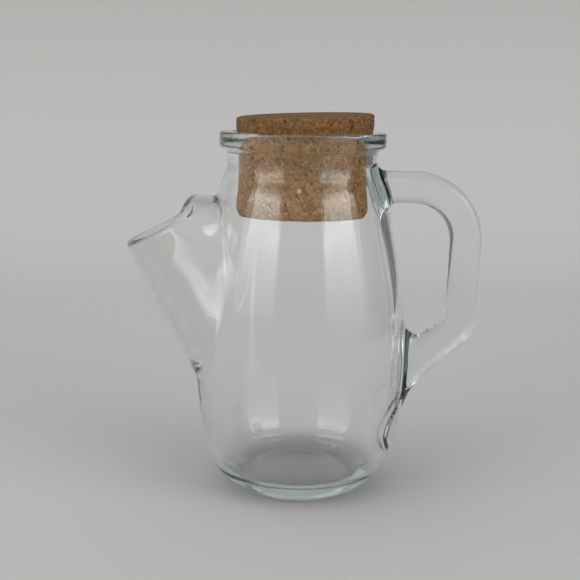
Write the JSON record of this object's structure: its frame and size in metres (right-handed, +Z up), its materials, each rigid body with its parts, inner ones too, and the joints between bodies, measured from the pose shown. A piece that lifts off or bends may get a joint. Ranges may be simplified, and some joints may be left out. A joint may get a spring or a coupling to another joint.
{
  "type": "glass pitcher",
  "caption": "Pear-shaped thick glass pitcher with a short collared neck, a slanting side spout, a D-shaped handle and a round cork stopper in the neck.",
  "frame": {"origin": "centre of the base, on the plane the pitcher rests on, on the axis of the round body", "axes": "+Z up along the body's axis, -X towards the pouring spout, +X towards the handle, +Y away from the viewer when the spout is on the left"},
  "size_m": [0.1779, 0.1062, 0.1912],
  "materials": {
    "glass": "clear pressed glass with a faint grey-green tint",
    "cork": "raw agglomerated cork, matt, speckled"
  },
  "bodies": {
    "root": {"glass_pitcher": "glass", "cork_stopper": "cork"}
  },
  "joints": []
}
